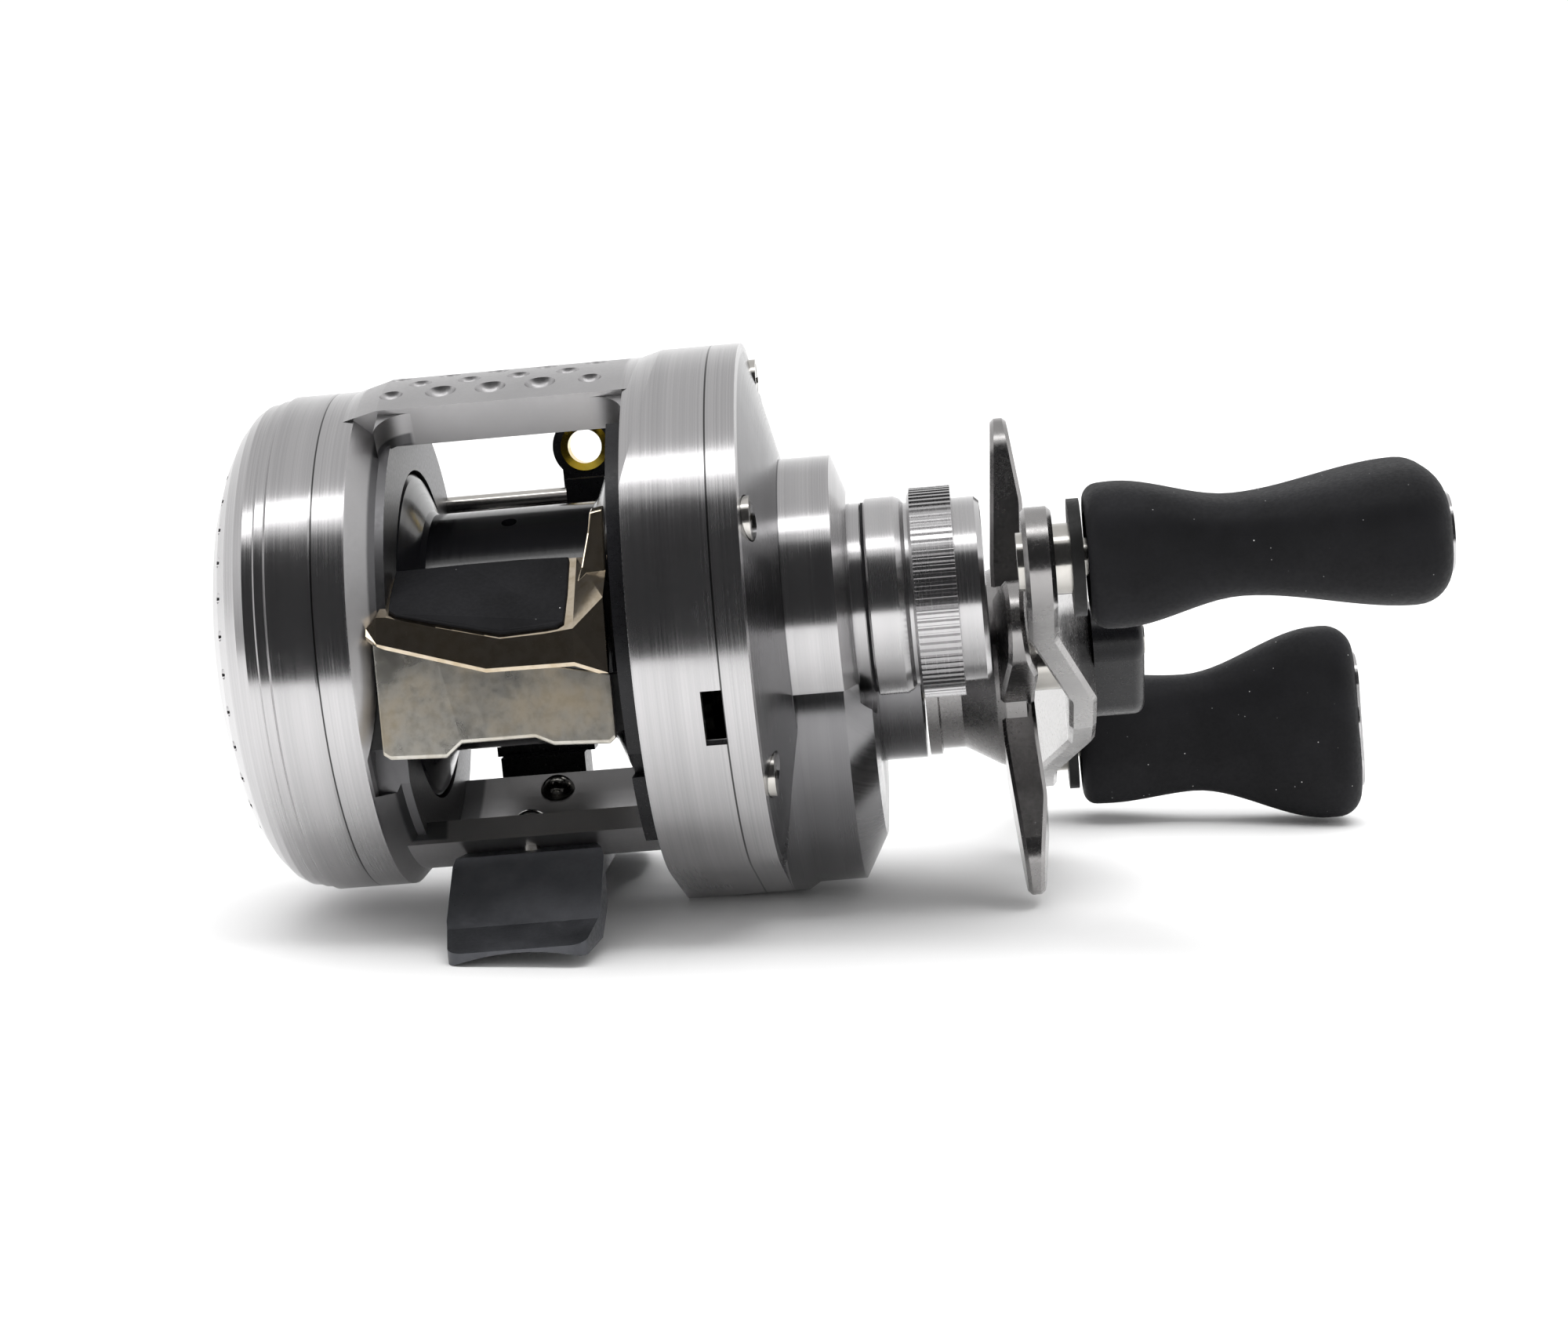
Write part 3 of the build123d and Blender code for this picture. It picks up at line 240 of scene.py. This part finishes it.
def gloss_black(name, axis):
    """Gloss black anodised metal with faint turning lines."""
    s = Surface(name, Specular_IOR_Level=0.5, Coat_Weight=0.25, Coat_Roughness=0.08)
    fine = s.noise(2600, 3.0, 0.7, s.polar(axis)[0])
    s.feed("Base Color", s.blend(fine, (0.003, 0.003, 0.004), (0.012, 0.012, 0.014)))
    s.feed("Roughness", s.ramp(fine, 0.3, 0.7, 0.14, 0.24))
    s.bump(fine, 0.004 * MM, 0.3)
    return s


def satin_black(name, tone, roughness, metallic=0.0):
    """Satin black paint or plastic with a fine speckle."""
    s = Surface(name, Metallic=metallic, Specular_IOR_Level=0.3)
    grain = s.noise(1900, 3.0, 0.6)
    cloud = s.noise(140, 3.0, 0.6)
    s.feed("Base Color", s.blend(s.ramp(cloud, 0.35, 0.7), tone, tuple(1.8 * part for part in tone)))
    s.feed("Roughness", s.ramp(grain, 0.3, 0.7, roughness * 0.85, roughness * 1.15))
    s.bump(grain, 0.01 * MM, 0.4)
    return s


def lip_painted_shade(s):
    """Painted shade inside the turned lip of the frame's left ring: darkening that stands in for the dark
    reflection in its recess.
    """
    along = s.add("ShaderNodeSeparateXYZ", {0: s.place}).outputs[0]
    flat = s.polar(SPOOL)[2]
    radius = s.add("ShaderNodeVectorMath", {0: flat}, operation="LENGTH").outputs["Value"]
    inside = s.ramp(radius, LIP_RADIUS, LIP_RADIUS + 0.3 * MM, 0.8, 0.0)
    return s.math("MULTIPLY", inside, s.ramp(along, LIP_EDGE, LIP_EDGE + 0.5 * MM, 1.0, 0.0))


def bars_satin(s):
    """Satin on the crossbars between the frame's two rings."""
    along = s.add("ShaderNodeSeparateXYZ", {0: s.place}).outputs[0]
    right = s.ramp(along, RING_GAP - 0.3 * MM, RING_GAP + 0.3 * MM, 1.0, 0.0)
    return s.math("MULTIPLY", s.ramp(along, -RING_GAP - 0.3 * MM, -RING_GAP + 0.3 * MM), right)


def cover_painted_shade(s):
    """Painted shade on the handle cover's sloping face and on its lower lobe: darkening that stands in for
    dark reflections and the shadow under the boss.
    """
    split = s.add("ShaderNodeSeparateXYZ", {0: s.place})
    along, height = split.outputs[0], split.outputs[2]
    face = s.math("MULTIPLY", s.ramp(along, COVER_EDGE, COVER_EDGE + 0.1 * MM),
                  s.ramp(along, BOSS_FOOT, BOSS_FOOT + 0.1 * MM, 1.0, 0.0))
    lobe = s.math("MULTIPLY", s.ramp(along, BOSS_FOOT, BOSS_FOOT + 0.1 * MM),
                  s.ramp(height, SPOOL.z - 9.5 * MM, SPOOL.z - 7.5 * MM, 0.72, 0.0))
    return s.math("ADD", s.math("MULTIPLY", face, 0.75), lobe, True)


SILVER_DARK = (0.40, 0.395, 0.40)
SILVER_LIGHT = (0.56, 0.55, 0.555)
made = {
    "turned_silver": turned_metal("turned_silver", SPOOL, SILVER_DARK, SILVER_LIGHT, 0.22),
    "frame_silver": turned_metal("frame_silver", SPOOL, SILVER_DARK, SILVER_LIGHT, 0.22,
                                 shade=lip_painted_shade, satin=bars_satin),
    "cover_silver": turned_metal("cover_silver", SPOOL, SILVER_DARK, SILVER_LIGHT, 0.22, shade=cover_painted_shade),
    "cap_silver": turned_metal("cap_silver", SPOOL, (0.50, 0.495, 0.50), (0.58, 0.57, 0.575), 0.24,
                               groove=0.08),
    "gunmetal": cast_metal("gunmetal", (0.30, 0.292, 0.29), (0.38, 0.37, 0.367), 0.2, relief=0.003),
    "foot_grey": cast_metal("foot_grey", (0.075, 0.078, 0.086), (0.12, 0.123, 0.135), 0.34, metallic=0.75),
    "steel": cast_metal("steel", (0.48, 0.465, 0.43), (0.64, 0.62, 0.59), 0.14),
    "brass": cast_metal("brass", (0.55, 0.36, 0.12), (0.80, 0.60, 0.26), 0.22),
    "gold": cast_metal("gold", (0.70, 0.46, 0.03), (0.85, 0.66, 0.10), 0.12),
    "nickel": stained_nickel("nickel", (0.60, 0.52, 0.41), (0.50, 0.42, 0.31), 0.08, 0.75),
    "nickel_satin": stained_nickel("nickel_satin", (0.60, 0.58, 0.53), (0.47, 0.45, 0.40), 0.28, 0.6),
    "rubber": rubber("rubber", (0.0055, 0.0055, 0.0065), 0.62),
    "spool_black": gloss_black("spool_black", SPOOL),
    "plate_black": satin_black("plate_black", (0.005, 0.005, 0.006), 0.3),
    "plastic": satin_black("plastic", (0.008, 0.008, 0.008), 0.5),
    "washer": satin_black("washer", (0.04, 0.04, 0.04), 0.7),
}

FINISH_OF_SLOT = {
    "silver_turned": "turned_silver",
    "silver_machined": "cap_silver",
    "nickel_polished": "nickel",
    "nickel_satin": "nickel_satin",
    "black_rubber": "rubber",
    "black_spool": "spool_black",
    "black_plate": "plate_black",
    "foot_grey": "foot_grey",
    "steel": "steel",
    "brass": "brass",
    "gold_ring": "gold",
    "black_plastic": "plastic",
    "dark_washer": "washer",
    "grey_crank": "gunmetal",
}


def finish(piece, name):
    """Give a piece one of the materials made above."""
    piece.data.materials.clear()
    piece.data.materials.append(made[name].material)


for part in frame["record"]["subparts"]:
    finish(nodes[part["node"]], FINISH_OF_SLOT[part["material_slot"]])
finish(nodes["handle_cover"], "cover_silver")
finish(nodes["frame"], "frame_silver")


# ---- detailed pieces ----------------------------------------------------------
def piece(name, points, faces, body, slot, replaced, bevel=0.0, smooth=False):
    """Mesh piece in place of a CAD node; points are in millimetres from the spool axis."""
    mesh = bpy.data.meshes.new(name)
    origin = Vector((0.0, SPOOL.y, SPOOL.z))
    mesh.from_pydata([Vector(point) * MM + origin for point in points], [], faces)
    mesh.update()
    obj = bpy.data.objects.new(name, mesh)
    bpy.context.scene.collection.objects.link(obj)
    clean = bmesh.new()
    clean.from_mesh(mesh)
    bmesh.ops.recalc_face_normals(clean, faces=clean.faces)
    if bevel:
        sharp = [edge for edge in clean.edges if edge.calc_face_angle(0.0) > radians(14)]
        bmesh.ops.bevel(clean, geom=sharp, offset=bevel * MM, segments=2, profile=0.6,
                        affect="EDGES", clamp_overlap=True)
    clean.to_mesh(mesh)
    clean.free()
    if smooth:
        mesh.shade_smooth()
    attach(obj, body)
    if replaced:
        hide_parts(*replaced)
    finish(obj, FINISH_OF_SLOT[slot])
    return obj


def reading(x, table, smooth=False):
    """Values at x in a table of (x, values...) rows, straight or smoothly stepped between the rows."""
    for left, right in zip(table, table[1:]):
        if x <= right[0]:
            share = (x - left[0]) / (right[0] - left[0])
            if smooth:
                share = max(0.0, share)
                share = share * share * (3 - 2 * share)
            return [a + share * (b - a) for a, b in zip(left[1:], right[1:])]
    return list(table[-1][1:])


def skin(points, count):
    """Faces over a row of closed sections of count points each, with both ends closed."""
    faces = []
    for start in range(0, len(points) - count, count):
        for index in range(count):
            near, following = start + index, start + (index + 1) % count
            faces.append((near, following, following + count, near + count))
    faces.append(tuple(range(count)))
    faces.append(tuple(range(len(points) - count, len(points))))
    return faces


BAR_TOP = (-16.8, 8.2)          # thumb bar's front top edge, in y and z
BAR_RIM = ((-12.3, -24.5, 3.6), (-10.9, -24.6, 4.9), (-9.7, -24.6, 4.3), (1.0, -25.3, 1.6),
           (8.0, -25.1, 1.8), (11.1, -23.9, 4.7))
BAR_CHIN = ((-12.3, -25.0, 2.9), (-11.2, -25.6, 2.1), (-0.5, -26.5, -1.1), (8.4, -26.3, -1.2),
            (11.3, -25.4, -2.6))
BAR_HEM = ((-12.3, -9.4), (-5.3, -9.7), (-3.7, -8.4), (3.6, -8.4), (5.4, -9.3), (11.4, -9.6))
BAR_INNER_X = -10.1             # the bar's inner side stays clear of the frame's left lip
PAD_ABOVE = 0.42                # the pad stands out of the bar's slope
PAD_BELOW = 0.3
PLATE_STATIONS = (-11.6, -10.9, -5.3, -3.7, -0.5, 3.6, 5.4, 10.9, 11.5)
BAR_STATIONS = (-12.3, -11.2, -10.2, -5.3, -3.7, -0.5, 1.0, 3.6, 5.4, 8.2, 11.3)


def thumb_bar():
    """Polished upper bar with its bevel band."""
    points = []
    for x in BAR_STATIONS:
        rim, chin = reading(x, BAR_RIM), reading(x, BAR_CHIN)
        inner = max(x, BAR_INNER_X)
        section = [BAR_TOP, rim, chin, (chin[0] + 0.15, chin[1] - 0.4), (chin[0] + 0.6, chin[1] - 0.45),
                   (-22.6, chin[1] * 0.3), (-18.2, 3.4), (-17.3, 7.2)]
        points += [(x if index in (1, 2, 3, 4) else inner, y, z) for index, (y, z) in enumerate(section)]
    faces = skin(points, len(section))
    return piece("thumb_bar_top", points, faces, "thumb_group", "nickel_polished", ["thumb_bar"], bevel=0.13)


def thumb_plate():
    """Satin lower plate of the thumb bar, with a notch in its hem."""
    points = []
    for x in PLATE_STATIONS:
        chin = reading(x, BAR_CHIN)[1]
        corner = 0.5 if abs(x) > 11.2 else 0.0
        hem = reading(x, BAR_HEM)[0] + corner
        points += [(x, -25.5, chin - 0.2), (x, -25.95, hem + 0.3), (x, -25.8, hem),
                   (x, -24.75, hem), (x, -24.75, chin - 0.2)]
    return piece("thumb_bar_plate", points, skin(points, 5), "thumb_group", "nickel_satin", [], bevel=0.12)


def horn():
    """Raised horn at the right end of the thumb bar."""
    front = [(8.4, -19.9, 6.0), (8.9, -19.3, 7.4), (9.6, -17.5, 10.6), (9.9, -16.5, 12.6),
             (11.2, -16.4, 12.8), (11.3, -17.6, 10.4), (11.3, -20.1, 5.6)]
    points = front + [(x, y + 1.6, z + 0.3) for x, y, z in front]
    faces = skin(points, len(front))
    return piece("thumb_bar_horn", points, faces, "thumb_group", "nickel_polished", [], bevel=0.14)


def thumb_pad():
    """Rubber pad let into the sloping top, its lower edge following the bevel band."""
    outline = ((-10.1, 0.03), (-3.0, 0.0), (3.0, 0.0), (7.5, 0.02), (7.5, 0.5), (7.3, 0.9), (6.6, 0.94),
               (1.2, 0.95), (-4.0, 0.945), (-9.3, 0.94), (-10.0, 0.88), (-10.1, 0.6))
    points = []
    for lift in (PAD_ABOVE, -PAD_BELOW):
        for x, share in outline:
            rim = reading(x, BAR_RIM)
            y = BAR_TOP[0] + share * (rim[0] - BAR_TOP[0])
            z = BAR_TOP[1] + share * (rim[1] - BAR_TOP[1])
            points.append((x, y - 0.6 * lift, z + 0.8 * lift))
    faces = skin(points, len(outline))
    return piece("thumb_bar_pad", points, faces, "thumb_group", "black_rubber", ["thumb_pad"], bevel=0.16)


GRIP_WIDE = ((0.0, 15.4), (4.0, 15.6), (13.5, 14.4), (30.0, 23.6), (34.7, 24.0))
GRIP_THIN = ((0.0, 13.8), (3.0, 14.0), (14.5, 9.6), (31.0, 13.6), (34.7, 13.8))
GRIP_RINGS = 44
GRIP_SIDES = 56
NOSE = 3.4                      # rounding of the grip's outer end
HEEL = 1.5                      # rounding of its inner end
GRIP_BORE_R = 4.6
FLAT_TURN = 2.0                 # the grips' broad sides lie nearly flat or nearly upright
UPRIGHT_TURN = 88.0
SQUARENESS = 0.62               # 1 is an ellipse, less is squarer


def rounded_section(width, height, turn):
    """Points of a softly squared oval about the X axis, as (y, z)."""
    points = []
    for index in range(GRIP_SIDES):
        angle = 2 * pi * index / GRIP_SIDES
        c, s = cos(angle), sin(angle)
        y = width / 2 * abs(c) ** SQUARENESS * (1 if c > 0 else -1)
        z = height / 2 * abs(s) ** SQUARENESS * (1 if s > 0 else -1)
        points.append((y * cos(turn) - z * sin(turn), y * sin(turn) + z * cos(turn)))
    return points


def rounding(radius, into):
    """How far a corner of this radius has drawn in, at a distance into it."""
    return radius - max(0.0, radius ** 2 - max(0.0, into) ** 2) ** 0.5


def knob_grip(side):
    """Waisted paddle grip with rounded ends and an open inner end."""
    low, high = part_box(side + "_grip")
    centre = (low + high) / 2 - SPOOL
    start, length = low.x / MM, (high.x - low.x) / MM
    size = (high - low) / MM
    turn = radians(FLAT_TURN) if size.y > size.z else radians(UPRIGHT_TURN)
    rings = []
    for index in range(GRIP_RINGS + 1):
        x = length * (0.5 - 0.5 * cos(pi * index / GRIP_RINGS))
        inset = rounding(NOSE, x - length + NOSE) + rounding(HEEL, HEEL - x)
        width = reading(x, GRIP_WIDE, smooth=True)[0] - 2 * inset
        height = reading(x, GRIP_THIN, smooth=True)[0] - 2 * inset
        rings.append((start + x, rounded_section(width, height, turn)))
    angles = [2 * pi * k / GRIP_SIDES + turn for k in range(GRIP_SIDES)]
    bore = [(GRIP_BORE_R * cos(angle), GRIP_BORE_R * sin(angle)) for angle in angles]
    shaft = [(0.75 * y, 0.75 * z) for y, z in bore]
    rings = [(start + 3.4, shaft), (start + 3.2, bore), (start, bore)] + rings
    points = [(x, centre.y / MM + y, centre.z / MM + z) for x, ring in rings for y, z in ring]
    faces = skin(points, GRIP_SIDES)
    return piece(side + "_rubber", points, faces, side, "black_rubber", [side + "_grip"], smooth=True)


thumb_bar()
thumb_plate()
horn()
thumb_pad()
knob_grip("near_knob")
knob_grip("far_knob")


# ---- stage --------------------------------------------------------------------
def stage_surface(name, color, roughness):
    """Plain matte surface for the floor and the dark card."""
    s = Surface(name, Roughness=roughness, Specular_IOR_Level=0.2)
    s.feed("Base Color", s.blend(s.noise(6.0), color, tuple(0.985 * part for part in color)))
    return s.material


def plane(name, width, height, place, turn):
    """Rectangle facing its local +Z."""
    mesh = bpy.data.meshes.new(name)
    w, h = width / 2, height / 2
    mesh.from_pydata([(-w, -h, 0), (w, -h, 0), (w, h, 0), (-w, h, 0)], [], [(0, 1, 2, 3)])
    obj = bpy.data.objects.new(name, mesh)
    bpy.context.scene.collection.objects.link(obj)
    obj.matrix_world = Matrix.Translation(place) @ turn.to_4x4()
    return obj


LEAN = radians(5.2)            # the reel leans on the far knob, so the table falls towards the handle
FOOT_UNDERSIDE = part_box("reel_foot")[0].z
TABLE_EDGE = Vector((-6.3 * MM, 0, FOOT_UNDERSIDE - 0.02 * MM))
lean_turn = Matrix.Rotation(LEAN, 3, "Y")

floor = plane("floor", 6.0, 6.0, TABLE_EDGE, lean_turn)
floor.data.materials.append(stage_surface("floor_paper", (0.90, 0.90, 0.90), 0.8))

CARD_AWAY = 0.16
CARD_HEIGHT = 0.26
card_turn = lean_turn @ Matrix.Rotation(radians(90), 3, "X")
card_place = SPOOL + lean_turn @ Vector((0.03, -CARD_AWAY, CARD_HEIGHT / 2 - 0.04))
card = plane("dark_card", 1.2, CARD_HEIGHT, card_place, card_turn)
card.data.materials.append(stage_surface("card_black", (0.02, 0.02, 0.021), 0.9))
for ray in ("camera", "diffuse", "transmission", "volume_scatter", "shadow"):
    setattr(card, "visible_" + ray, False)


def soft_box(name, width, height, place, power, aim):
    """Rectangular studio light aimed at a point."""
    light = bpy.data.lights.new(name, "AREA")
    light.shape = "RECTANGLE"
    light.size = width
    light.size_y = height
    light.energy = power
    lamp = bpy.data.objects.new(name, light)
    bpy.context.scene.collection.objects.link(lamp)
    lamp.location = place
    lamp.rotation_euler = (Vector(aim) - Vector(place)).to_track_quat("-Z", "Y").to_euler()
    return lamp


def studio(horizon, zenith):
    """World that is white all round and greyer overhead."""
    world = bpy.data.worlds.new("studio")
    world.use_nodes = True
    tree = world.node_tree
    direction = tree.nodes.new("ShaderNodeTexCoord").outputs["Generated"]
    split = tree.nodes.new("ShaderNodeSeparateXYZ")
    tree.links.new(direction, split.inputs[0])
    ramp = tree.nodes.new("ShaderNodeMapRange")
    ramp.inputs["From Min"].default_value = 0.15
    ramp.inputs["From Max"].default_value = 0.75
    ramp.inputs["To Min"].default_value = horizon
    ramp.inputs["To Max"].default_value = zenith
    tree.links.new(split.outputs[2], ramp.inputs["Value"])
    back = tree.nodes["Background"]
    back.inputs["Color"].default_value = (1.0, 1.0, 1.0, 1.0)
    tree.links.new(ramp.outputs[0], back.inputs["Strength"])
    bpy.context.scene.world = world


def table_fill(strength, spread):
    """Broad light from above that whitens the table and stays out of the reflections."""
    sun = bpy.data.lights.new("table_fill", "SUN")
    sun.energy = strength
    sun.angle = radians(spread)
    lamp = bpy.data.objects.new("table_fill", sun)
    lamp.rotation_euler = (radians(-14), radians(10), 0.0)
    lamp.visible_glossy = False
    bpy.context.scene.collection.objects.link(lamp)


soft_box("overhead_strip", 0.9, 0.09, (0.02, -0.16, 0.46), 0.75, SPOOL)
studio(1.12, 0.75)
table_fill(2.4, 70)
bpy.context.scene.view_settings.view_transform = "Standard"


# ---- camera -------------------------------------------------------------------
YAW = radians(3.8)
PITCH = radians(7.0)
ROLL = radians(5.2)
AWAY = 330 * MM
LENS = 71.28
SENSOR = 36.0
AIM = SPOOL + Vector((-0.8, 0.0, 0.0)) * MM
AIM_ACROSS = -0.0848           # where the aim point falls, as shares of the distance
AIM_UP = 0.0119


def camera():
    """Camera behind the reel, a little above and to the right, rolled with the leaning reel."""
    back = Vector((sin(YAW) * cos(PITCH), -cos(YAW) * cos(PITCH), sin(PITCH)))
    level = Vector((cos(YAW), sin(YAW), 0))
    upright = back.cross(level)
    right = level * cos(ROLL) - upright * sin(ROLL)
    up = upright * cos(ROLL) + level * sin(ROLL)
    data = bpy.data.cameras.new("camera")
    data.lens = LENS
    data.sensor_width = SENSOR
    data.clip_start = 0.01
    obj = bpy.data.objects.new("camera", data)
    bpy.context.scene.collection.objects.link(obj)
    turn = Matrix((right, up, back)).transposed().to_4x4()
    place = AIM + AWAY * (back - right * AIM_ACROSS - up * AIM_UP)
    obj.matrix_world = Matrix.Translation(place) @ turn
    bpy.context.scene.camera = obj


camera()
